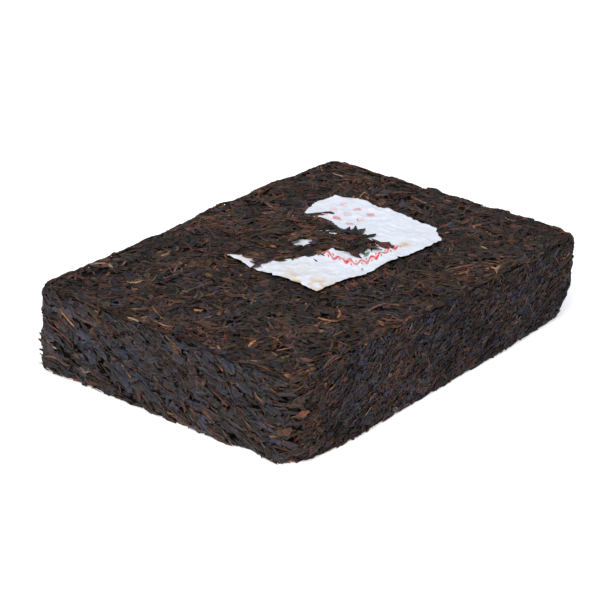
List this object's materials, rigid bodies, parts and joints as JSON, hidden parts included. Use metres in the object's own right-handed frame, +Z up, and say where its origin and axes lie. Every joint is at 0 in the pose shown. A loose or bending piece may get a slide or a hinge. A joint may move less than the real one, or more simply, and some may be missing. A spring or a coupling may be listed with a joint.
{
  "type": "pressed liu bao tea brick",
  "caption": "Rectangular brick of pressed dark tea leaf with rounded corners and a torn white paper ticket let into its top, half covered by leaf.",
  "frame": {"origin": "middle of the brick's flat base", "axes": "+X along the brick's length, +Y across it towards the leaf-covered side of the ticket, +Z up out of the top face with the ticket"},
  "size_m": [0.1408, 0.1032, 0.0298],
  "materials": {
    "dark_tea": "matt pressed tea leaf, near-black brown with rust and straw coloured leaves",
    "ticket_paper": "thin matt white paper with tea stains, a red wavy line with dots round a bend, faded red diamonds and a small green leaf"
  },
  "bodies": {
    "root": {"tea_brick": "dark_tea", "paper_ticket": "ticket_paper"}
  },
  "joints": []
}
